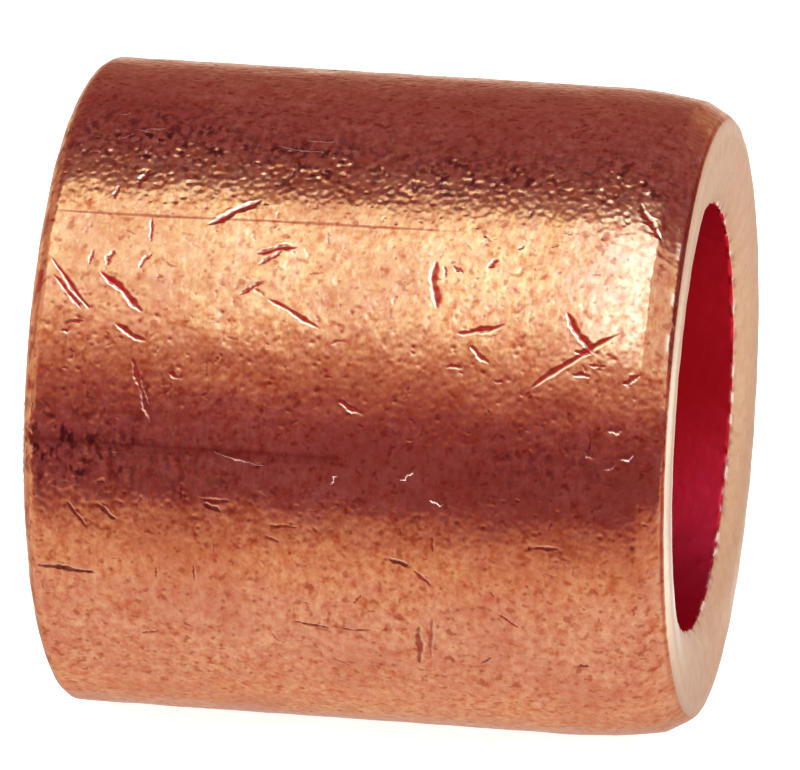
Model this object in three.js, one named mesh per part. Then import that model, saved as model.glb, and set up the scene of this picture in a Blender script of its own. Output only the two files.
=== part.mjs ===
// A concentric copper reducing bushing for soldered tube: one thick-walled cup with a pierced nose.
// The outside slides into a fitting for 22.2 mm tube, and a 15.9 mm tube slides into the socket.
// The axis lies along X, with the socket's mouth at -X and the rounded nose at +X. Sizes are in mm.
import * as THREE from "three";

// Driving dimensions
const OUTER_DIAMETER = 22.2; // goes into a cup for 22.2 mm tube
const LENGTH = 22;
const SOCKET_DIAMETER = 15.96; // takes a 15.88 mm tube with room for solder
const SOCKET_DEPTH = 13.5;
const WATERWAY_DIAMETER = 14.66; // the hole pierced through the nose, which leaves the tube's stop

// The nose, from outside to inside: a long gentle taper, a short steep corner, and a crowned end
// whose narrow flat crest falls away to the pierced hole.
const TAPER_LENGTH = 3.1;
const TAPER_DROP = 0.3;
const CORNER_LENGTH = 0.91;
const CORNER_DROP = 0.6;
const BEVEL_LENGTH = 0.7; // the corner's first part is a straight bevel
const BEVEL_DROP = 0.39;
const CROWN_HEIGHT = 0.1;
const CREST_OUTER_RADIUS = 9.6;
const CREST_INNER_RADIUS = 9.3;
const CREST_TO_HOLE = 0.53;

// The mouth: an outer edge rounded by an ellipse, and a small lead-in for the tube
const MOUTH_ROUND_LENGTH = 0.7;
const MOUTH_ROUND_HEIGHT = 1.4;
const LEAD_IN = 0.4;

// Facets. A lying solid with this few sides rests on one of them and does not roll.
const SIDES = 32;
const ROUND_STEPS = 4;

const outerRadius = OUTER_DIAMETER / 2;
const socketRadius = SOCKET_DIAMETER / 2;
const waterwayRadius = WATERWAY_DIAMETER / 2;
const mouthX = -LENGTH / 2;
const noseX = LENGTH / 2;
const stopX = mouthX + SOCKET_DEPTH;

// The mouth's rounded edge as [x, radius]: a quarter ellipse from the end face to the straight outside.
function mouthRound() {
  const points = [];
  for (let i = 0; i <= ROUND_STEPS; i++) {
    const angle = ((Math.PI / 2) * i) / ROUND_STEPS;
    points.push([
      mouthX + MOUTH_ROUND_LENGTH * (1 - Math.cos(angle)),
      outerRadius - MOUTH_ROUND_HEIGHT * (1 - Math.sin(angle)),
    ]);
  }
  return points;
}

// The nose's outside as [x, radius]: taper, corner and crowned end.
function noseOutside() {
  const endX = noseX - CROWN_HEIGHT;
  const cornerX = endX - CORNER_LENGTH;
  const cornerRadius = outerRadius - TAPER_DROP;
  return [
    [cornerX - TAPER_LENGTH, outerRadius],
    [cornerX - TAPER_LENGTH / 2, outerRadius - TAPER_DROP / 4],
    [cornerX, cornerRadius],
    [cornerX + BEVEL_LENGTH, cornerRadius - BEVEL_DROP],
    [endX, cornerRadius - CORNER_DROP],
    [noseX, CREST_OUTER_RADIUS],
    [noseX, CREST_INNER_RADIUS],
  ];
}

// The inside as [x, radius]: pierced hole, tube stop, socket and lead-in.
function bore() {
  return [
    [noseX - CREST_TO_HOLE, waterwayRadius],
    [stopX, waterwayRadius],
    [stopX, socketRadius],
    [mouthX + LEAD_IN, socketRadius],
    [mouthX, socketRadius + LEAD_IN],
  ];
}

function bushingGeometry() {
  const section = [...mouthRound(), ...noseOutside(), ...bore()];
  const profile = section.map(([x, radius]) => new THREE.Vector2(radius, x));
  profile.push(profile[0].clone());
  // Half a facet's turn puts a flat facet, not an edge, at the very bottom.
  const geometry = new THREE.LatheGeometry(profile, SIDES, Math.PI / SIDES);
  return geometry.rotateZ(-Math.PI / 2);
}

const copper = new THREE.MeshStandardMaterial({ color: 0xc8744f, roughness: 0.35, metalness: 1 });

const bushing = new THREE.Mesh(bushingGeometry(), copper);
bushing.name = "bushing_body";

const part = new THREE.Group();
part.add(bushing);

export default part;
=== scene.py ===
"""A copper reducing bushing, lying on a pale floor under soft studio light.

The wall is one closed surface, swept round the axis from its section, with the marks of
making and handling worked into the mesh. Lengths are in millimetres until the mesh is made.
"""
import math

import bpy
import numpy as np
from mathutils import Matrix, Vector


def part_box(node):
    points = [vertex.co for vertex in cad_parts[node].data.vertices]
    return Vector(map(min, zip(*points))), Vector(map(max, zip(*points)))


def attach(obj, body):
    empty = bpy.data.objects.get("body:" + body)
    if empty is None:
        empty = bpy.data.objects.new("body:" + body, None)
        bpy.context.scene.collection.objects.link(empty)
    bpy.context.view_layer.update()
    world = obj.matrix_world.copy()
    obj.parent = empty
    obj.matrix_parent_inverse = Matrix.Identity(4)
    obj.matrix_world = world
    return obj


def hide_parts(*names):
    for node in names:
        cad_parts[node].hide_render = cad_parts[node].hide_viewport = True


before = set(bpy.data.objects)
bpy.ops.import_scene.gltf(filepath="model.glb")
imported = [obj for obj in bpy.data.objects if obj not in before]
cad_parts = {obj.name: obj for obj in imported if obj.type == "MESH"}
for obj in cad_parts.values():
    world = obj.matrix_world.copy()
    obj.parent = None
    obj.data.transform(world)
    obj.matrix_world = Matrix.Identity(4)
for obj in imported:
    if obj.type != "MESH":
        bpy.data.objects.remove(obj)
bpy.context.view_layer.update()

MM = 0.001
NODE = "bushing_body"

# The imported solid's sides are flats, so its height is a little less than its true diameter.
CAD_SIDES = 32
box_low, box_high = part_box(NODE)
OUTER_RADIUS = (box_high.z - box_low.z) / 2 / MM / math.cos(math.pi / CAD_SIDES)

MOUTH_X = box_low.x / MM
NOSE_X = box_high.x / MM
SOCKET_RADIUS = 7.98
SOCKET_DEPTH = 13.5
WATERWAY_RADIUS = 7.33
LEAD_IN = 0.4
MOUTH_ROUND = (0.7, 1.4)  # the mouth's outer edge: along the axis, and in radius
TAPER = (3.1, 0.3)  # the nose's gentle taper: length, and drop in radius
CORNER = (0.91, 0.6)  # the steeper corner after it: length and drop
BEVEL = (0.70, 0.39)  # the corner's first part, straight: length and drop
CROWN_HEIGHT = 0.10  # the end face's crest stands this far beyond the corner
CREST_RADIUS = 9.6
CREST_TO_HOLE = 0.53  # the end face falls this far from its crest to the pierced hole
EDGE_SOFTNESS = 0.055  # the section's edges are blurred over about this width

# The surface's mesh: rows round the section and columns round the axis, closest where the marks
# are. Degrees run round the outside from the top towards the front.
FINE_STEP = 0.01  # between the points that rows are chosen from
ZONES = ("mouth", "outside", "end", "bore", "socket")
ROW_STEPS = {"mouth": 0.1, "outside": 0.042, "end": 0.06, "bore": 0.12, "socket": 0.4}
TURN_PER_ROW = math.radians(9)  # rows are closer where the section turns more than this
SMALLEST_STEP = 0.02
EDGE_STEP = 0.025
COLUMN_STEPS = {-30: 0.085, -20: 0.055, 26: 0.037, 84: 0.037, 92: 0.045, 128: 0.045, 150: 0.085}
FIRST_COLUMN = -40
ANGLE_STEPS = 7200  # round the axis, that columns are chosen from
RIPPLE_CELLS = 6  # grid cells to a wavelength of random relief
LINE_CELLS = 8  # ... and of a random line round the outside
SEED = 11


# ---------------------------------------------------------------- the wall's section

def straight(start, end):
    """Close points from start towards end, without end."""
    start, end = np.array(start, float), np.array(end, float)
    count = max(2, round(np.hypot(*(end - start)) / FINE_STEP))
    t = np.arange(count)[:, None] / count
    return start + (end - start) * t


def bend(start, control, end):
    """Close points on a curve from start towards end, pulled towards control, without end."""
    start, control, end = (np.array(p, float) for p in (start, control, end))
    count = max(2, round(np.hypot(*(end - start)) / FINE_STEP))
    t = np.arange(count)[:, None] / count
    return start * (1 - t) ** 2 + 2 * control * t * (1 - t) + end * t**2


def quarter_ellipse(centre, along, across):
    """Close points from (centre - along) to (centre + across), without the last."""
    count = round(1.6 * max(along, across) / FINE_STEP)
    angle = np.arange(count) / count * math.pi / 2
    return np.stack([centre[0] - along * np.cos(angle), centre[1] + across * np.sin(angle)], 1)


def outline():
    """The section's parts as (zone, points of [x, radius]), once round from the mouth."""
    stop_x = MOUTH_X + SOCKET_DEPTH
    end_x = NOSE_X - CROWN_HEIGHT
    corner_x = end_x - CORNER[0]
    taper_x = corner_x - TAPER[0]
    corner_r = OUTER_RADIUS - TAPER[1]
    end_r = corner_r - CORNER[1]
    cone_end = (corner_x + BEVEL[0], corner_r - BEVEL[1])
    taper_control = ((taper_x + corner_x) / 2, OUTER_RADIUS)
    corner_control = (cone_end[0] + 0.15, cone_end[1] - 0.09)
    end_control = (NOSE_X - 0.02, end_r - 0.2)
    crest = (NOSE_X, CREST_RADIUS)
    crest_control = (NOSE_X, CREST_RADIUS - 1.1)
    hole = (NOSE_X - CREST_TO_HOLE, WATERWAY_RADIUS)
    lead_in_start = (MOUTH_X + LEAD_IN, SOCKET_RADIUS)
    lead_in_end = (MOUTH_X, SOCKET_RADIUS + LEAD_IN)
    mouth_edge_r = OUTER_RADIUS - MOUTH_ROUND[1]
    barrel_start = MOUTH_X + MOUTH_ROUND[0]
    return [
        ("mouth", straight(lead_in_end, (MOUTH_X, mouth_edge_r))),
        ("outside", quarter_ellipse((barrel_start, mouth_edge_r), *MOUTH_ROUND)),
        ("outside", straight((barrel_start, OUTER_RADIUS), (taper_x, OUTER_RADIUS))),
        ("outside", bend((taper_x, OUTER_RADIUS), taper_control, (corner_x, corner_r))),
        ("outside", straight((corner_x, corner_r), cone_end)),
        ("outside", bend(cone_end, corner_control, (end_x, end_r))),
        ("end", bend((end_x, end_r), end_control, crest)),
        ("end", bend(crest, crest_control, hole)),
        ("bore", straight(hole, (stop_x, WATERWAY_RADIUS))),
        ("socket", straight((stop_x, WATERWAY_RADIUS), (stop_x, SOCKET_RADIUS))),
        ("socket", straight((stop_x, SOCKET_RADIUS), lead_in_start)),
        ("socket", straight(lead_in_start, lead_in_end)),
    ]


def soften(points, width):
    """A closed line of points, blurred along its length by a bell curve of that width."""
    turns = np.fft.fftfreq(len(points), FINE_STEP)
    kept = np.exp(-2 * (math.pi * turns * width) ** 2)
    return np.real(np.fft.ifft(np.fft.fft(points, axis=0) * kept[:, None], axis=0))


class Section:
    """Rows round the section: x, radius, outward normal (nx, nr), zone number and arc length s."""

    def __init__(self):
        parts = outline()
        points = np.concatenate([p for _, p in parts])
        zones = np.concatenate([np.full(len(p), ZONES.index(z)) for z, p in parts])
        points = soften(points, EDGE_SOFTNESS)
        step = np.roll(points, -1, 0) - points
        length = np.hypot(*step.T)
        tangent = step / length[:, None]
        turn = np.abs(np.cross(np.roll(tangent, 1, 0), tangent)) / length
        wanted = np.array([ROW_STEPS[z] for z in ZONES])[zones]
        # rows are closest at the pierced edge, and where the section turns sharply
        from_edge = np.hypot(points[:, 0] - NOSE_X + CREST_TO_HOLE, points[:, 1] - WATERWAY_RADIUS)
        wanted = np.minimum(wanted, np.maximum(EDGE_STEP, from_edge / 8))
        spacing = np.clip(TURN_PER_ROW / np.maximum(turn, 1e-6), SMALLEST_STEP, wanted)
        count_to = np.concatenate([[0], np.cumsum(length / spacing)])
        self.rows = int(count_to[-1])
        wanted_counts = np.arange(self.rows) / self.rows * count_to[-1]
        at = np.interp(wanted_counts, count_to, np.arange(len(points) + 1))
        whole = at.astype(int) % len(points)
        part = (at - at.astype(int))[:, None]
        place = points[whole] * (1 - part) + points[(whole + 1) % len(points)] * part
        self.x, self.r = place.T
        self.nx, self.nr = -tangent[whole, 1], tangent[whole, 0]
        self.zone = zones[whole]
        self.s = np.concatenate([[0], np.cumsum(length)])[whole]
        self.length = length.sum()

    def within(self, zone):
        """Which rows are in a zone."""
        return self.zone == ZONES.index(zone)


# ---------------------------------------------------------------- relief

# Marks listed one by one: from (x, degrees) to (x, degrees), half-width, depth, and the dark side:
# +1 when it is on the right of someone walking the mark, standing on the surface. An eighth
# value is how strongly the mark shows, where that is less than 1.
NICKS = [
    (-5.2, 40, -3.5, 34, 0.14, 0.055, 1),
    (-3.4, 45, -2.0, 43, 0.12, 0.050, 1),
    (-3.3, 47, -2.5, 44, 0.08, 0.045, 1),
    (-3.8, 53, -3.0, 50, 0.08, 0.040, 1),
    (-2.8, 53, -0.9, 58, 0.09, 0.028, -1),
    (-8.6, 50, -7.0, 57, 0.13, 0.055, -1),
    (-8.2, 46, -8.4, 49, 0.11, 0.050, -1),
    (-10.3, 48, -8.8, 57, 0.08, 0.045, -1),
    (-10.2, 51, -9.1, 57, 0.08, 0.020, -1),
    (-7.1, 39, -7.0, 44, 0.07, 0.030, -1),
    (-6.9, 46, -7.3, 49, 0.08, 0.030, -1),
    (-8.9, 46, -9.0, 49, 0.07, 0.025, -1),
    (-7.9, 59, -6.8, 62, 0.10, 0.035, -1),
    (-9.7, 60, -8.9, 59, 0.06, 0.030, 1),
    (2.7, 44, 3.0, 53, 0.16, 0.034, -1),
    (3.3, 45, 3.7, 46, 0.09, 0.035, -1),
    (4.8, 43, 4.5, 45, 0.10, 0.045, -1),
    (3.7, 57, 5.3, 55, 0.11, 0.045, -1),
    (7.3, 52, 8.4, 59, 0.13, 0.055, -1),
    (6.3, 66, 9.2, 55, 0.11, 0.045, -1),
    (7.7, 59, 8.3, 59, 0.09, 0.040, -1),
    (7.7, 63, 8.3, 63, 0.08, 0.030, -1),
    (9.4, 64, 9.9, 62, 0.10, 0.035, -1),
    (4.2, 59, 4.9, 62, 0.09, 0.035, -1),
    (3.4, 63, 4.0, 63, 0.07, 0.025, -1),
    (-7.2, 65, -6.8, 71, 0.09, 0.035, -1),
    (-5.9, 67, -5.6, 68, 0.08, 0.035, -1),
    (-0.1, 70, 0.7, 72, 0.10, 0.045, -1),
    (-4.7, 89, -3.7, 89, 0.08, 0.035, 1),
    (-4.6, 90, -4.0, 91, 0.09, 0.045, 1),
    (-10.4, 104, -8.4, 105, 0.10, 0.060, 1),
    (-9.3, 91, -8.6, 96, 0.06, 0.035, 1),
    (-8.2, 91, -7.6, 94, 0.08, 0.040, 1),
    (-1.7, 113, -0.5, 114, 0.06, 0.040, 1),
    (-0.1, 114, 1.0, 114, 0.05, 0.035, 1),
    (2.6, 112, 2.5, 122, 0.14, 0.020, 1, 0.8),
    (3.1, 110, 2.9, 120, 0.08, 0.010, 1, 0.7),
    (5.0, 119, 4.6, 121, 0.07, 0.035, 1),
    (5.3, 108, 6.0, 111, 0.05, 0.025, 1),
    (6.6, 94, 7.5, 94, 0.07, 0.035, 1),
    (1.7, 98, 2.4, 99, 0.09, 0.045, 1),
    (2.5, 100, 3.1, 103, 0.08, 0.030, 1),
    (7.9, 120, 8.3, 120, 0.09, 0.035, 1),
    (-7.5, 29, -7.8, 33, 0.12, 0.040, -1),
    (-8.4, 33, -8.5, 36, 0.08, 0.035, -1),
    (1.9, 29, 2.6, 28, 0.08, 0.030, -1),
    (9.2, 29, 10.1, 36, 0.14, 0.055, 1),
    (-2.4, 93, -1.4, 93, 0.05, 0.020, 1),
    (-2.5, 95, -2.0, 96, 0.05, 0.020, 1),
    (-6.3, 103, -6.3, 105, 0.05, 0.025, 1),
    (-5.0, 102, -5.0, 105, 0.05, 0.025, 1),
    (-7.1, 119, -6.4, 118, 0.05, 0.025, 1),
    (0.7, 106, 0.4, 108, 0.05, 0.025, 1),
    (3.2, 93, 3.2, 96, 0.05, 0.025, 1),
    (-2.6, 27, -2.7, 29, 0.06, 0.025, -1),
    (8.2, 61, 8.8, 61, 0.06, 0.020, -1),
    (5.1, 65, 5.4, 65, 0.06, 0.020, -1),
    (3.0, 45, 3.1, 47, 0.06, 0.025, -1),
    (5.6, 40, 5.4, 41, 0.06, 0.025, -1),
    (-9.7, 61, -9.4, 61, 0.06, 0.025, -1),
]
# Fainter scratches, with the same first seven values, whose pale wall is a painted highlight.
SCRATCHES = [
    (-8.3, 19, -7.3, 18, 0.07, 0.022, -1),
    (-3.4, 21, -1.8, 22, 0.06, 0.018, -1),
    (-2.5, 19, -1.5, 19, 0.06, 0.018, -1),
    (-9.1, 15, -8.7, 14, 0.06, 0.020, -1),
    (-8.9, 22, -8.4, 20, 0.06, 0.020, -1),
    (-8.0, 25, -7.7, 23, 0.06, 0.020, -1),
    (-7.2, 0, -6.8, 0, 0.06, 0.020, -1),
    (-4.3, 80, -2.5, 82, 0.07, 0.022, -1),
    (-6.8, 70, -6.4, 76, 0.09, 0.035, -1),
    (-6.9, 68, -6.5, 73, 0.06, 0.020, -1),
    (8.3, 76, 8.6, 77, 0.08, 0.025, -1),
    (8.9, 79, 9.3, 78, 0.08, 0.025, -1),
    (10.6, 32, 10.8, 33, 0.06, 0.020, -1),
]
# Short scratches whose pale wall is a strong painted highlight, a glint.
GLINTS = [
    (9.0, 72, 9.5, 72, 0.13, 0.020, -1),
    (9.4, 77, 9.9, 76, 0.13, 0.020, -1),
    (3.1, 86, 3.6, 87, 0.13, 0.020, -1),
    (2.0, 83, 2.5, 81, 0.13, 0.020, -1),
    (0.0, 83, -0.2, 85, 0.12, 0.020, -1),
]
DRAW_LINE = (-10.9, 39, 3.6, 38, 0.075, 0.003, 1)  # one fine line along the outside

# Weathered patches: the middle's x and degrees, the reach in each, and strength.
WEATHERED = [
    (-7.0, 22, 4.5, 10, 1.0),
    (-2.5, 25, 3.5, 8, 1.0),
    (3.5, 26, 4.5, 7, 1.0),
    (8.5, 25, 2.0, 9, 0.9),
    (-10.0, 82, 4.0, 8, 1.1),
    (-6.0, 84, 3.0, 5, 0.5),
    (7.0, 79, 2.5, 6, 0.5),
]

LOW_BAND = 88  # nicks that start beyond this many degrees get darker painted shade in their cuts ...
DEEP = 0.045  # ... fully from this depth, and less where they are shallower
FRONT = math.radians(60)  # random patches come only on the side away from this
PATCH_RIPPLE = 0.0085  # how rough the patches are

SMALL_NICKS = 1000
PITS = 2600
MARKED_X = (MOUTH_X + 0.4, NOSE_X - 0.8)  # where small nicks and pits are scattered
CUT_LEAN = 0.4  # a cut's bottom is this far towards its pale side, in half-widths
SHEAR_DEPTH = 1.1  # the torn band inside the pierced hole

# The skin's relief: its wavelengths along and round, and its heights in each zone.
SKIN_WAVES = ((0.18, 0.24), (0.42, 0.42), (1.9, 1.9), (7.0, 0.28))
SKIN_HEIGHTS = {
    "outside": (0.0010, 0.0018, 0.0060, 0.0003),
    "mouth": (0.0010, 0.0020, 0.0050, 0.0),
    "end": (0.0004, 0.0010, 0.0040, 0.0),
    "bore": (0.0, 0.0006, 0.0030, 0.0002),
    "socket": (0.0, 0.0010, 0.0030, 0.0010),
}


def column_angles():
    """Angles of the columns round the axis, from the first right round to it again."""
    degrees = np.linspace(FIRST_COLUMN, FIRST_COLUMN + 360, ANGLE_STEPS + 1)
    step = np.interp(degrees, list(COLUMN_STEPS), list(COLUMN_STEPS.values()), period=360)
    pace = np.radians(360 / ANGLE_STEPS) * OUTER_RADIUS / step
    count_to = np.concatenate([[0], np.cumsum((pace[1:] + pace[:-1]) / 2)])
    columns = int(count_to[-1])
    return np.radians(np.interp(np.linspace(0, count_to[-1], columns + 1), count_to, degrees))


def between(length, size, at):
    """The two grid cells next to each place on a closed line, and how far it is between them."""
    place = (at / length * size) % size
    low = place.astype(int) % size
    return low, (low + 1) % size, place - place.astype(int)


class Relief:
    """What is worked into the plain wall, point by point.

    height stands off the wall, and push_x and push_r shift the edges. Three more run from 0 to 1:
    painted shade, dark red, in cuts, hollows and creases, with some stains; painted highlights,
    pale, on marks, burrs and edges; and stains, with painted shade darkening the lower cuts.
    """

    def __init__(self, section, rng):
        self.section = section
        self.rng = rng
        self.closed_angles = column_angles()
        self.angle = self.closed_angles[:-1]
        self.shape = (section.rows, len(self.angle))
        self.height = np.zeros(self.shape)
        self.shade_and_stains = np.zeros(self.shape)
        self.painted_highlight = np.zeros(self.shape)
        self.stains_and_low_shade = np.zeros(self.shape)
        self.push_x = np.zeros(self.shape)
        self.push_r = np.zeros(self.shape)
        self.on_outside = np.flatnonzero(section.within("outside"))

    def ripple(self, along, around, spread=0.45):
        """Smooth random relief of unit height, with the given wavelengths, closed both ways."""
        around_length = 2 * math.pi * OUTER_RADIUS
        rows = round(self.section.length / (along / RIPPLE_CELLS))
        columns = round(around_length / (around / RIPPLE_CELLS))
        turns_s = np.fft.fftfreq(rows, 1 / RIPPLE_CELLS)[:, None]
        turns_t = np.fft.rfftfreq(columns, 1 / RIPPLE_CELLS)[None, :]
        band = np.exp(-(((np.hypot(turns_s, turns_t) - 1) / spread) ** 2))
        noise = np.fft.rfft2(self.rng.standard_normal((rows, columns)))
        field = np.fft.irfft2(noise * band, s=(rows, columns))
        field /= field.std()
        r0, r1, p = between(self.section.length, rows, self.section.s)
        c0, c1, q = between(2 * math.pi, columns, self.angle)
        field = field[r0] * (1 - p[:, None]) + field[r1] * p[:, None]
        return field[:, c0] * (1 - q) + field[:, c1] * q

    def wave_round(self, wavelength):
        """A random line of unit height round the outside, with about that wavelength."""
        size = round(2 * math.pi * OUTER_RADIUS / wavelength * LINE_CELLS)
        turns = np.fft.rfftfreq(size, 1 / LINE_CELLS)
        noise = np.fft.rfft(self.rng.standard_normal(size))
        line = np.fft.irfft(noise * np.exp(-(((turns - 1) / 0.6) ** 2)), size)
        line /= line.std()
        c0, c1, q = between(2 * math.pi, size, self.angle)
        return line[c0] * (1 - q) + line[c1] * q

    def window(self, x, angle, reach):
        """The outside's rows and columns near a place, with their distances from it."""
        rows = self.on_outside[np.abs(self.section.x[self.on_outside] - x) < reach]
        gap = (self.angle - angle + math.pi) % (2 * math.pi) - math.pi
        columns = np.flatnonzero(np.abs(gap) * OUTER_RADIUS < reach)
        away_x = (self.section.x[rows] - x)[:, None]
        away_round = (gap[columns] * OUTER_RADIUS)[None, :]
        return rows, columns, away_x, away_round

    def degrees_from(self, degrees):
        """How far each column is from a place round the axis, from -180 to 180."""
        return (np.degrees(self.angle) - degrees + 180) % 360 - 180

    def nick(self, x0, degrees0, x1, degrees1, width, depth, side, tint=1.0, shine=0.3, cut_shade=0.0):
        """A V-shaped cut that narrows to both ends, with small lips, one wall dark and one pale.

        tint is how strongly both walls show: the dark wall is painted shade and the pale wall a
        painted highlight. shine is how pale the highlight is, and the last how much darker the
        painted shade in the cut is made.
        """
        angle = math.radians(degrees0 + degrees1) / 2
        run_x = x1 - x0
        run_v = math.radians(degrees1 - degrees0) * OUTER_RADIUS
        length = math.hypot(run_x, run_v)
        ux, uv = run_x / length, run_v / length
        rows, columns, dx, dv = self.window((x0 + x1) / 2, angle, length / 2 + 2 * width)
        along = (dx * ux + dv * uv) / (length / 2)
        waves = self.rng.uniform(0, 6.3, 3)
        bow = self.rng.uniform(-0.6, 0.6) * width
        across = dv * ux - dx * uv + bow * (1 - along**2)
        across = across + 0.2 * width * np.sin(5 * along + waves[0])
        narrow = np.sqrt(np.clip(1 - along**2, 0, 1)) * (1 + 0.2 * np.sin(6 * along + waves[1]))
        narrow = narrow * (1 + 0.12 * np.sin(17 * along + waves[2]))
        # off is the distance from the middle line in half-widths, positive on the dark side
        off = side * across / (width * narrow + 1e-6)
        to_bottom = np.minimum((1 - off) / (1 + CUT_LEAN), (1 + off) / (1 - CUT_LEAN))
        cut = np.clip(to_bottom, 0, 1)
        lip = np.exp(-(((np.abs(off) - 1.3) / 0.3) ** 2)) * (1 + 0.5 * np.sin(9 * along + waves[2]))
        dark = np.clip(2.0 - np.abs(off - 0.2) / 0.5, 0, 1)
        dark = dark * (0.9 + 0.1 * np.sin(13 * along + waves[0]))
        pale = np.clip(1.5 - np.abs(off + 0.85) / 0.3, 0, 1)
        shown = np.clip(2 * narrow, 0, 1)
        near = np.ix_(rows, columns)
        self.height[near] += 0.75 * depth * narrow * (0.12 * lip - cut)
        self.shade_and_stains[near] = np.maximum(self.shade_and_stains[near], tint * dark * shown)
        self.painted_highlight[near] = np.maximum(self.painted_highlight[near], tint * shine * pale * shown)
        self.stains_and_low_shade[near] = np.maximum(self.stains_and_low_shade[near], cut_shade * dark * shown)

    def pit(self, x, degrees, width, depth, tint):
        """A small round hollow."""
        rows, columns, dx, dv = self.window(x, math.radians(degrees), 3 * width)
        dip = np.exp(-(dx**2 + dv**2) / width**2)
        near = np.ix_(rows, columns)
        self.height[near] -= depth * dip
        self.shade_and_stains[near] = np.maximum(self.shade_and_stains[near], tint * dip)


def handling_marks(relief):
    """Cuts, pits and the draw line on the outside."""
    rng = relief.rng
    for mark in NICKS:
        # painted shade: low nicks are darker in their cuts, the more so the deeper they are
        cut_shade = min(mark[5] / DEEP, 1) ** 2 if mark[1] > LOW_BAND else 0
        relief.nick(*mark, shine=0.55, cut_shade=cut_shade)
    for x0, degrees0, x1, degrees1, width, depth, side in SCRATCHES:
        relief.nick(x0, degrees0, x1, degrees1, 1.5 * width, depth, side, tint=0.3, shine=2.6)
    for mark in GLINTS:
        relief.nick(*mark, tint=0.25, shine=4)
    relief.nick(*DRAW_LINE, tint=0.7, shine=0)
    for _ in range(SMALL_NICKS):
        x = rng.uniform(*MARKED_X)
        degrees = rng.uniform(0, 360)
        length = 0.12 + rng.exponential(0.13)
        lean = rng.uniform(0, math.pi)
        run = math.cos(lean) * length
        turn = math.degrees(math.sin(lean) * length / OUTER_RADIUS)
        width = rng.uniform(0.04, 0.065)
        depth = width * rng.uniform(0.15, 0.5)
        side = rng.choice((-1, 1))
        tint = rng.uniform(0.1, 0.75)
        relief.nick(x, degrees, x + run, degrees + turn, width, depth, side, tint)
    for _ in range(PITS):
        x = rng.uniform(*MARKED_X)
        width = rng.uniform(0.04, 0.08)
        degrees = rng.uniform(0, 360)
        depth = width * rng.uniform(0.08, 0.3)
        tint = rng.uniform(0, 0.95) ** 2
        relief.pit(x, degrees, width, depth, tint)


def skin_texture(relief):
    """Dimples, strongest on the outside, and draw lines, strongest in the socket."""
    fields = [relief.ripple(*waves) for waves in SKIN_WAVES]
    heights = np.array([SKIN_HEIGHTS[z] for z in ZONES])[relief.section.zone]
    for height, field in zip(heights.T, fields):
        relief.height += height[:, None] * field


def weathering(relief):
    """Patches where the skin is pitted and stained: those placed, and some at random."""
    section = relief.section
    behind = np.clip(-1.5 * np.cos(relief.angle - FRONT), 0, 1)
    relief.stains_and_low_shade += 0.6 * behind * np.clip(relief.ripple(9.0, 7.0) - 0.6, 0, 1)
    for x, degrees, reach_x, reach_degrees, strength in WEATHERED:
        away = relief.degrees_from(degrees)
        near = ((section.x[:, None] - x) / reach_x) ** 2 + (away / reach_degrees) ** 2
        relief.stains_and_low_shade = np.maximum(relief.stains_and_low_shade, strength * np.exp(-near))
    mottled = np.clip(0.8 + 0.35 * relief.ripple(1.1, 0.9), 0, 1.3)
    relief.stains_and_low_shade *= section.within("outside")[:, None] * mottled
    relief.height += PATCH_RIPPLE * relief.stains_and_low_shade * relief.ripple(0.30, 0.36)


def bell(distance, width, power=2):
    """1 at no distance, falling away over a width; a higher power gives a flatter top."""
    return np.exp(-((distance / width) ** power))


def pierced_edge(relief):
    """The pierced hole's torn edge: ragged in radius, with small burrs and a rough band inside."""
    section = relief.section
    hole_x = NOSE_X - CREST_TO_HOLE
    nose_side = section.within("end") | section.within("bore")
    depth = np.where(nose_side & (section.r < CREST_RADIUS), hole_x - section.x, np.inf)[:, None]
    at_edge = bell(depth, 0.07)
    inside = np.clip(depth / 0.1, 0, 1) * np.clip((SHEAR_DEPTH - depth) / 0.5, 0, 1)
    lumpy = 0.3 + 0.7 * bell(relief.degrees_from(235), 50)
    beads = 0.9 * relief.wave_round(1.3) + 0.5 * relief.wave_round(3.0)
    beads = np.clip(beads + lumpy - 0.8, 0, 1)
    ragged = 0.005 * relief.wave_round(0.5) + 0.020 * relief.wave_round(1.1)
    ragged = ragged + 0.020 * relief.wave_round(2.4)
    relief.push_r += at_edge * (ragged - 0.015 * beads)
    relief.push_x += at_edge * 0.015 * beads
    relief.push_r -= inside * 0.003 * relief.ripple(1.4, 1.0)
    # the burrs' beads are painted pale, as highlights
    relief.painted_highlight += 0.88 * bell(depth - 0.01, 0.05) * beads
    # a painted highlight: the end face is paler on the front, more so towards the hole
    to_hole = section.within("end") * np.clip((9.7 - section.r) / 0.9, 0, 0.7)
    relief.painted_highlight += to_hole[:, None] * bell(relief.degrees_from(97), 36, 4)
    stained = 0.3 * relief.wave_round(0.7) + 0.2 * relief.wave_round(2.0)
    relief.shade_and_stains += bell(depth + 0.05, 0.05) * np.clip(stained, 0, 0.5)


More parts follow.
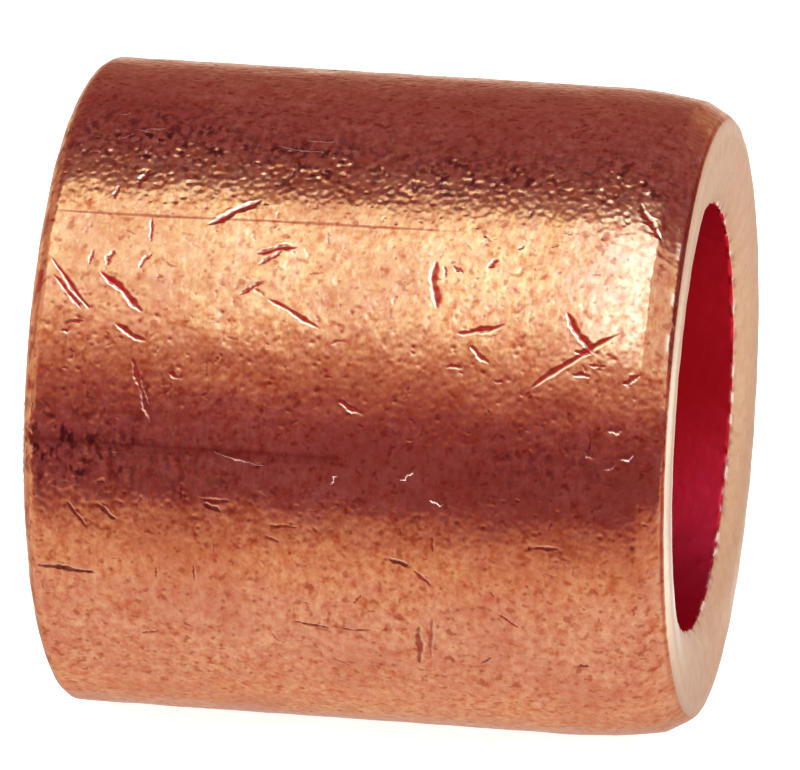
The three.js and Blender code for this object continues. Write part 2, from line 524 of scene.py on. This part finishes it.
def rims(relief):
    """The nose's outer rim has a broken, burred line; the mouth's is uneven and out of square."""
    section = relief.section
    outside = section.within("outside")[:, None]
    from_rim = section.x - (NOSE_X - CROWN_HEIGHT - CORNER[0] + BEVEL[0])
    # the burred line where the bevel ends, raised and painted pale as a highlight
    burr = bell(from_rim - 0.01, 0.075)[:, None] * outside
    rough_side = 0.25 + 0.75 * bell(relief.degrees_from(47), 17, 4)
    broken = 0.8 * relief.wave_round(1.0) + relief.wave_round(2.4)
    broken = np.clip(broken - 0.1, 0, 1) * rough_side
    relief.height += 0.010 * burr * broken
    relief.painted_highlight += 0.85 * burr * broken
    # a shallow line beyond it, painted dark as shade round the upper half
    line = bell(from_rim - 0.13, 0.05)[:, None] * outside
    line = line * np.clip(1.1 + 1.4 * np.cos(relief.angle), 0, 1)
    relief.height -= 0.010 * line
    relief.shade_and_stains += line * np.clip(0.82 + 0.1 * relief.wave_round(1.2), 0, 0.9)
    # a painted highlight: the end face's outer edge is paler, most on the front
    crown = section.within("end") * np.clip((section.r - CREST_RADIUS) / 0.25, 0, 1)
    relief.painted_highlight += crown[:, None] * (0.2 + 0.4 * bell(relief.degrees_from(78), 40))

    # the mouth leans a little, its outer edge is uneven, and its rim is stained here and there
    reach = np.clip(1 - (section.x - MOUTH_X) / 0.8, 0, 1)[:, None] ** 2
    reach = reach * (section.r > SOCKET_RADIUS - 0.01)[:, None]
    lean = -0.08 * np.cos(relief.angle)
    outer_rim = np.clip((section.r - OUTER_RADIUS + 1.0) / 0.9, 0, 1)[:, None]
    uneven = 0.010 * relief.wave_round(3.0) + 0.004 * relief.wave_round(1.1)
    relief.push_x += reach * (lean + outer_rim * uneven)
    rim_r = OUTER_RADIUS - 0.36 + 0.10 * relief.wave_round(2.0)
    rim = bell(section.r[:, None] - rim_r, 0.15) * outside * (section.x < 0)[:, None]
    stained = 0.7 * relief.wave_round(1.8) + 0.4 * relief.wave_round(0.7)
    relief.shade_and_stains += rim * np.clip(stained + 0.25, 0, 1)


# ---------------------------------------------------------------- the mesh

MAP_GAP = 0.5  # between the islands of the bake map


def corner_uvs(section, angles, row, column):
    """Bake-map places of face corners: the outside's halves stacked, the inside on its side."""
    gap = MAP_GAP
    inner = section.within("bore") | section.within("socket")
    s = np.append(section.s, section.length)
    first_inner = s[np.flatnonzero(inner)[0]]
    turned = angles - angles[0]
    half = int(np.argmin(np.abs(turned - math.pi)))
    second = column[:, :1] >= half
    u = (turned[column] - np.where(second, turned[half], 0)) * OUTER_RADIUS + gap
    v = s[row] + gap + np.where(second, first_inner + gap, 0)
    in_face = inner[row[:, :1] % section.rows]
    u = np.where(in_face, math.pi * OUTER_RADIUS + 3 * gap + s[row] - first_inner, u)
    v = np.where(in_face, turned[column] * SOCKET_RADIUS + gap, v)
    return np.stack([u, v], -1) / (max(u.max(), v.max()) + gap)


def bushing_mesh(section, relief):
    """The closed wall, with a bake map, and its marks and zones as vertex values."""
    angle = relief.angle
    x = section.x[:, None] + relief.push_x + section.nx[:, None] * relief.height
    r = section.r[:, None] + relief.push_r + section.nr[:, None] * relief.height
    places = np.stack([x, -r * np.sin(angle), r * np.cos(angle)], -1) * MM

    rows, columns = relief.shape
    i, j = (a.ravel() for a in np.indices(relief.shape))
    row = np.stack([i, i, i + 1, i + 1], 1)
    column = np.stack([j, j + 1, j + 1, j], 1)
    corner = (row % rows) * columns + column % columns

    mesh = bpy.data.meshes.new("bushing")
    mesh.vertices.add(rows * columns)
    mesh.vertices.foreach_set("co", places.ravel())
    mesh.loops.add(corner.size)
    mesh.loops.foreach_set("vertex_index", corner.ravel())
    mesh.polygons.add(len(corner))
    mesh.polygons.foreach_set("loop_start", np.arange(len(corner)) * 4)
    mesh.polygons.foreach_set("use_smooth", np.ones(len(corner), bool))
    mesh.update(calc_edges=True)

    uvs = corner_uvs(section, relief.closed_angles, row, column)
    mesh.uv_layers.new(name="OFBake").data.foreach_set("uv", uvs.ravel())
    marks = (relief.shade_and_stains, relief.painted_highlight, relief.stains_and_low_shade)
    zones = [np.repeat(section.within(z)[:, None], columns, 1) for z in ("end", "bore", "socket")]
    for name, channels in (("marks", marks), ("zones", zones)):
        values = np.stack([*channels, np.ones(relief.shape)], -1).clip(0, 1)
        mesh.attributes.new(name, "FLOAT_COLOR", "POINT").data.foreach_set("color", values.ravel())
    return mesh


# ---------------------------------------------------------------- node helpers

class Nodes:
    """Adds shader nodes to a tree; values and sockets are given by input name or number."""

    def __init__(self, tree):
        self.tree = tree
        tree.nodes.clear()

    def add(self, kind, inputs=(), **settings):
        node = self.tree.nodes.new(kind)
        for name, value in settings.items():
            setattr(node, name, value)
        for name, value in dict(inputs).items():
            if isinstance(value, bpy.types.NodeSocket):
                self.tree.links.new(value, node.inputs[name])
            else:
                node.inputs[name].default_value = value
        return node

    def math(self, operation, a, b=0.0):
        """One sum, or another operation, on two sockets or numbers."""
        return self.add("ShaderNodeMath", {0: a, 1: b}, operation=operation).outputs[0]

    def product(self, *factors):
        """The factors, sockets or numbers, multiplied together."""
        result = factors[0]
        for factor in factors[1:]:
            result = self.math("MULTIPLY", result, factor)
        return result

    def split(self, vector):
        """A vector's three parts."""
        return self.add("ShaderNodeSeparateXYZ", {0: vector}).outputs

    def point_values(self, name):
        """The three channels of a mesh attribute."""
        attribute = self.add("ShaderNodeAttribute", attribute_name=name)
        return self.add("ShaderNodeSeparateColor", {0: attribute.outputs["Color"]}).outputs

    def scale(self, vector, factor):
        """A vector made longer by a factor."""
        node = self.add("ShaderNodeVectorMath", {0: vector, "Scale": factor}, operation="SCALE")
        return node.outputs[0]

    def noise(self, vector, per_mm, detail=2.0, roughness=0.5):
        """Smooth noise from 0 to 1, with about that many waves to the millimetre."""
        inputs = {"Vector": vector, "Scale": per_mm, "Detail": detail, "Roughness": roughness}
        return self.add("ShaderNodeTexNoise", inputs).outputs["Fac"]

    def ranged(self, value, low, high, to_low=0.0, to_high=1.0, kind="SMOOTHSTEP"):
        """to_low where the value is low, to_high where it is high, and an even change between."""
        inputs = {
            "Value": value, "From Min": low, "From Max": high, "To Min": to_low, "To Max": to_high,
        }
        return self.add("ShaderNodeMapRange", inputs, interpolation_type=kind).outputs[0]

    def mix(self, factor, a, b, blend="MIX"):
        """a with b laid over it, as far as the factor says."""
        node = self.add("ShaderNodeMix", data_type="RGBA", clamp_factor=True, blend_type=blend)
        sockets = {"Factor_Float": factor, "A_Color": a, "B_Color": b}
        for socket in node.inputs:
            if socket.identifier in sockets:
                value = sockets[socket.identifier]
                if isinstance(value, bpy.types.NodeSocket):
                    self.tree.links.new(value, socket)
                else:
                    socket.default_value = (*value, 1) if isinstance(value, tuple) else value
        return next(s for s in node.outputs if s.identifier == "Result_Color")


# ---------------------------------------------------------------- copper

# Grain runs between the deep and the pale colour; the others come in patches or on marks,
# where the dark reds are painted shade and the pale one a painted highlight.
COPPER_DEEP = (0.64, 0.145, 0.060)
COPPER_PALE = (0.98, 0.515, 0.270)
COPPER_BROWN = (0.62, 0.165, 0.085)
COPPER_PINK = (0.84, 0.360, 0.250)
STAIN = (0.19, 0.034, 0.036)
SPECK = (0.42, 0.055, 0.022)
# painted shade in cuts, hollows and creases, where some stains go too; darker still in the lower
# cuts
SHADE_RED = (0.32, 0.007, 0.009)
SHADE_DARK = (0.07, 0.006, 0.006)
# painted highlight, for the pale walls of marks, burrs and rubbed edges
HIGHLIGHT_PALE = (1.0, 0.76, 0.58)
END_TAN = (0.66, 0.375, 0.205)  # the cut end face
# the waterway's deep red is painted reflection, light bounced many times inside it
BORE_REFLECTED_RED = (0.76, 0.022, 0.045)
BORE_SHADE = (0.54, 0.023, 0.050)  # painted shade, at the waterway's top and bottom
# the tint of reflections at a low angle, on the outside, the end face and the waterway;
# the waterway's red tint is painted reflection, light bounced inside it
GRAZING_SKIN = (1.0, 0.78, 0.62)
GRAZING_END = (1.0, 1.0, 1.0)
GRAZING_BORE = (0.8, 0.08, 0.12)
GRAIN_DEPTH = 0.012
SQUEEZE = (1.4, 1.0, 1.0)  # grain and stains are this much finer along the axis


def copper_material():
    """Bright tumbled copper, with its zones, its stains, and painted shade and highlights on its
    marks.
    """
    material = bpy.data.materials.new("copper")
    material.use_nodes = True
    n = Nodes(material.node_tree)
    place = n.scale(n.add("ShaderNodeTexCoord").outputs["Object"], 1 / MM)
    squeeze = n.add("ShaderNodeVectorMath", {0: place, 1: SQUEEZE}, operation="MULTIPLY")
    squeezed = squeeze.outputs[0]
    shade_and_stains, painted_highlight, stains_and_low_shade = n.point_values("marks")
    end, bore, _ = n.point_values("zones")
    z = n.split(place)[2]
    # painted shade: the waterway is darker at its top and bottom, by height in the part
    mid_height = n.product(n.ranged(z, 6.5, 1.5), n.ranged(z, -7.6, -5.0))

    patches = n.noise(place, 0.22, 3)
    grain = n.noise(squeezed, 2.3, 2, 0.7)
    stains = n.noise(squeezed, 3.0, 1, 0.5)
    specks = n.noise(place, 3.2, 1, 0.5)

    colour = n.mix(n.ranged(grain, 0.28, 0.72, kind="LINEAR"), COPPER_DEEP, COPPER_PALE)
    colour = n.mix(n.ranged(patches, 0.42, 0.75, 0, 0.6), colour, COPPER_BROWN)
    colour = n.mix(n.ranged(n.noise(place, 1.3, 1), 0.35, 0.65, 0, 0.22), colour, COPPER_PINK)
    colour = n.mix(n.ranged(specks, 0.58, 0.74, 0, 0.6), colour, SPECK)
    colour = n.mix(n.product(stains_and_low_shade, 0.95, n.ranged(stains, 0.40, 0.66)), colour, STAIN)
    colour = n.mix(n.product(end, 0.8), colour, END_TAN)
    colour = n.mix(bore, colour, n.mix(mid_height, BORE_SHADE, BORE_REFLECTED_RED))
    colour = n.mix(painted_highlight, colour, HIGHLIGHT_PALE)
    colour = n.mix(shade_and_stains, colour, n.mix(stains_and_low_shade, SHADE_RED, SHADE_DARK))

    rough = n.ranged(grain, 0.36, 0.64, 0.19, 0.15, "LINEAR")
    rough = n.math("ADD", rough, n.product(end, n.ranged(painted_highlight, 0, 1, 0.22, 0.06)))
    rough = n.math("ADD", rough, n.product(bore, 0.34))
    rough = n.math("ADD", rough, n.product(stains_and_low_shade, 0.04))
    # where painted shade and painted highlights are strongest the metal is dull, not a mirror
    metal = n.product(
        n.ranged(shade_and_stains, 0.75, 1, 1, 0.15, "LINEAR"), n.ranged(painted_highlight, 0.6, 1, 1, 0.15, "LINEAR"),
    )
    grazing = n.mix(end, GRAZING_SKIN, GRAZING_END)
    grazing = n.mix(bore, grazing, GRAZING_BORE)

    bump = n.add("ShaderNodeBump", {
        "Strength": 1.0, "Distance": GRAIN_DEPTH * MM, "Height": n.noise(squeezed, 2.4, 1, 0.5),
    })
    shader = n.add("ShaderNodeBsdfPrincipled", {
        "Base Color": colour, "Metallic": metal, "Roughness": rough, "Normal": bump.outputs[0],
        "Specular IOR Level": 0.1, "Specular Tint": grazing,
    })
    n.add("ShaderNodeOutputMaterial", {"Surface": shader.outputs[0]})
    return material


# ---------------------------------------------------------------- studio

FLOOR_Z = -OUTER_RADIUS - 0.06  # just clear of the skin's relief
FLOOR_WIDTH = 3000
PALE = (0.84, 0.83, 0.80)
NEAR_FLOOR = (0.83, 0.785, 0.79)
WARM = (0.80, 0.66, 0.55)
DARK_CARD = (0.275, 0.097, 0.165)
FAR_OFF = (0.44, 0.34, 0.35)
BACKDROP = (1.3, 1.3, 1.3)
MOUTH_SIDE = (0.72, 0.58, 0.48)
NOSE_SIDE = (0.88, 0.96, 0.96)
LAMP = (1.6, 3.0, 4.0)
LEVEL_BEHIND = (0.58, 0.48, 0.42)
BEHIND_NOSE = (1.2, 1.35, 1.45)
BRIGHT_FLOOR = (1.25, 1.50, 1.65)
TOWARD_BEHIND_NOSE = (0.69, 0.69, -0.22)

# What polished metal sees, by the angle of the direction in degrees: 0 is level to the front,
# 90 straight up and 180 level to the back.
SURROUNDINGS = [
    (-180, PALE),
    (-30, PALE),
    (-14, DARK_CARD),
    (8, (0.285, 0.100, 0.175)),
    (20, (0.42, 0.18, 0.20)),
    (34, (0.69, 0.50, 0.43)),
    (44, (1.05, 1.15, 1.05)),
    (52, (1.20, 1.60, 1.50)),
    (60, (1.28, 1.88, 1.80)),
    (76, (1.25, 1.82, 1.75)),
    (86, (1.26, 1.70, 1.50)),
    (92, (1.20, 1.42, 1.15)),
    (95, (0.36, 0.22, 0.26)),
    (112, (0.28, 0.125, 0.19)),
    (140, (0.31, 0.135, 0.21)),
    (168, (0.34, 0.19, 0.24)),
    (176, FAR_OFF),
    (180, FAR_OFF),
]
# ... and across the floor, by the distance behind the bushing's axis in millimetres.
FLOOR_SEEN = [
    (-50, DARK_CARD),
    (-44, DARK_CARD),
    (-31, (0.52, 0.30, 0.27)),
    (-21, WARM),
    (-13, NEAR_FLOOR),
    (-5.5, NEAR_FLOOR),
    # painted shadow: darker just round the line under the bushing
    (-3, (0.62, 0.56, 0.56)),
    (4, (0.79, 0.77, 0.74)),
    (28, (0.74, 0.70, 0.66)),
    (52, PALE),
    (230, PALE),
    (380, FAR_OFF),
]
FLOOR_SPAN = (-60, 400)
# Bright patches of that floor: for each edge, the axis it fades along, where it is dark and
# where it is bright.
BRIGHT_PATCHES = [
    [("x", 24, 36), ("y", 10, 20), ("y", 50, 35)],
    [("x", 16, 19), ("y", -7, -4), ("y", 15, 9)],
    [("x", 10.2, 11), ("x", 15, 13), ("y", 7, 12), ("y", 42, 34)],
]


def set_ramp(ramp, stops, low, high):
    """Give a colour ramp stops placed between low and high."""
    while len(ramp.elements) < len(stops):
        ramp.elements.new(0.5)
    for element, (place, colour) in zip(ramp.elements, stops):
        element.position = (place - low) / (high - low)
        element.color = (*colour, 1)


def studio_world():
    """Even white to the eye and the floor; polished metal sees soft panels between dark cards."""
    world = bpy.data.worlds.new("studio")
    bpy.context.scene.world = world
    world.use_nodes = True
    n = Nodes(world.node_tree)
    way = n.add("ShaderNodeTexCoord").outputs["Generated"]
    x, y, z = n.split(way)
    angle = n.math("ARCTAN2", z, n.math("MULTIPLY", y, -1.0))
    ramp = n.add("ShaderNodeValToRGB", {0: n.ranged(angle, -math.pi, math.pi, kind="LINEAR")})
    set_ramp(ramp.color_ramp, SURROUNDINGS, -180, 180)
    seen = ramp.outputs[0]

    # an even warm tone towards the mouth, and dimmer panels towards the nose
    seen = n.mix(n.ranged(x, -0.68, -0.80, 0, 0.75), seen, MOUTH_SIDE)
    seen = n.mix(n.ranged(x, 0.40, 0.48), seen, NOSE_SIDE, "DARKEN")
    # the lamp, seen in the nose's taper
    lamp_along = n.product(n.ranged(x, -0.17, 0.06), n.ranged(x, 0.44, 0.38))
    lamp_up = n.product(
        n.ranged(angle, math.radians(34), math.radians(58)),
        n.ranged(angle, math.radians(94), math.radians(88)),
    )
    seen = n.mix(n.product(lamp_along, lamp_up), seen, LAMP)
    # a warm tone level behind, towards the nose
    level = n.ranged(angle, math.radians(145), math.radians(180))
    seen = n.mix(n.product(n.ranged(x, -0.05, 0.30), level), seen, LEVEL_BEHIND)
    # a white panel behind, beyond the nose
    facing = {0: way, 1: TOWARD_BEHIND_NOSE}
    toward = n.add("ShaderNodeVectorMath", facing, operation="DOT_PRODUCT").outputs["Value"]
    seen = n.mix(n.ranged(toward, 0.90, 0.96), seen, BEHIND_NOSE)

    glossy = n.add("ShaderNodeLightPath").outputs["Is Glossy Ray"]
    colour = n.mix(glossy, BACKDROP, seen)
    background = n.add("ShaderNodeBackground", {"Color": colour, "Strength": 1.0})
    n.add("ShaderNodeOutputWorld", {"Surface": background.outputs[0]})


def floor_material():
    """A plain white floor."""
    material = bpy.data.materials.new("floor_white")
    material.use_nodes = True
    shader = material.node_tree.nodes["Principled BSDF"]
    shader.inputs["Base Color"].default_value = (0.86, 0.86, 0.86, 1)
    shader.inputs["Roughness"].default_value = 0.7
    shader.inputs["Specular IOR Level"].default_value = 0.2
    # lit from behind, so that it stays white under the bushing's shadow
    shader.inputs["Emission Color"].default_value = (1, 1, 1, 1)
    shader.inputs["Emission Strength"].default_value = 0.8
    return material


def plane(name, half, z, material):
    """A level square sheet, in millimetres."""
    corners = [(-half, -half, z), (half, -half, z), (half, half, z), (-half, half, z)]
    mesh = bpy.data.meshes.new(name)
    mesh.from_pydata([tuple(c * MM for c in p) for p in corners], [], [(0, 1, 2, 3)])
    mesh.materials.append(material)
    sheet = bpy.data.objects.new(name, mesh)
    bpy.context.scene.collection.objects.link(sheet)
    return sheet


def floor_in_metal():
    """What polished metal sees of the floor: pale nearby, with dark cards and bright patches."""
    material = bpy.data.materials.new("floor_in_metal")
    material.use_nodes = True
    n = Nodes(material.node_tree)
    x, y, _ = n.split(n.add("ShaderNodeTexCoord").outputs["Object"])
    low, high = FLOOR_SPAN
    ramp = n.add("ShaderNodeValToRGB", {0: n.ranged(y, low * MM, high * MM, kind="LINEAR")})
    set_ramp(ramp.color_ramp, FLOOR_SEEN, low, high)
    along = {"x": x, "y": y}
    bright = 0.0
    for edges in BRIGHT_PATCHES:
        patch = n.product(*(n.ranged(along[way], dark * MM, lit * MM) for way, dark, lit in edges))
        bright = n.math("MAXIMUM", bright, patch)
    shade = n.mix(bright, ramp.outputs[0], BRIGHT_FLOOR)
    light = n.add("ShaderNodeEmission", {"Color": shade, "Strength": 1.0})
    n.add("ShaderNodeOutputMaterial", {"Surface": light.outputs[0]})
    sheet = plane("floor_in_metal", FLOOR_WIDTH / 2, FLOOR_Z + 0.01, material)
    sheet.visible_camera = False
    sheet.visible_diffuse = False
    sheet.visible_transmission = False
    sheet.visible_shadow = False


KEY_PLACE = (60, -120, 420)
KEY_SIZE = 300
KEY_WATTS = 0.5


def studio_lights():
    """One large soft key, above and a little to the nose side, for the shadow on the floor."""
    light = bpy.data.lights.new("key", "AREA")
    light.shape = "SQUARE"
    light.size = KEY_SIZE * MM
    light.energy = KEY_WATTS
    key = bpy.data.objects.new("key", light)
    key.location = Vector(KEY_PLACE) * MM
    key.rotation_euler = (-key.location).to_track_quat("-Z", "Y").to_euler()
    key.visible_glossy = False
    bpy.context.scene.collection.objects.link(key)


# ---------------------------------------------------------------- camera

CAMERA_AZIMUTH = math.radians(10.48)
CAMERA_ELEVATION = math.radians(20.79)
CAMERA_DISTANCE = 397.0
FRAME_WIDTH = 27.45  # across the view at the bushing's axis
AIM_RIGHT = 0.05
AIM_UP = 0.43
SENSOR = 36.0
NEAREST = 10
FARTHEST = 20000


def camera():
    """A long lens in front of the bushing, above it and a little to the nose side."""
    data = bpy.data.cameras.new("camera")
    data.sensor_fit = "HORIZONTAL"
    data.sensor_width = SENSOR
    data.lens = SENSOR * CAMERA_DISTANCE / FRAME_WIDTH
    data.clip_start = NEAREST * MM
    data.clip_end = FARTHEST * MM
    obj = bpy.data.objects.new("camera", data)
    bpy.context.scene.collection.objects.link(obj)
    level = math.cos(CAMERA_ELEVATION)
    back = Vector((
        math.sin(CAMERA_AZIMUTH) * level,
        -math.cos(CAMERA_AZIMUTH) * level,
        math.sin(CAMERA_ELEVATION),
    ))
    right = Vector((math.cos(CAMERA_AZIMUTH), math.sin(CAMERA_AZIMUTH), 0))
    up = back.cross(right)
    target = (right * AIM_RIGHT + up * AIM_UP) * MM
    obj.location = target + back * CAMERA_DISTANCE * MM
    obj.rotation_euler = back.to_track_quat("Z", "Y").to_euler()
    bpy.context.scene.camera = obj


# ---------------------------------------------------------------- putting it together

camera()
section = Section()
relief = Relief(section, np.random.default_rng(SEED))
skin_texture(relief)
weathering(relief)
handling_marks(relief)
pierced_edge(relief)
rims(relief)

bushing = bpy.data.objects.new("copper_bushing", bushing_mesh(section, relief))
bushing.data.materials.append(copper_material())
bpy.context.scene.collection.objects.link(bushing)
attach(bushing, "root")
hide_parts(NODE)

plane("floor", FLOOR_WIDTH / 2, FLOOR_Z, floor_material())
floor_in_metal()
studio_world()
studio_lights()

view = bpy.context.scene.view_settings
view.view_transform = "Standard"
# light bounces many times inside the waterway
bpy.context.scene.cycles.max_bounces = 16
bpy.context.scene.cycles.glossy_bounces = 12
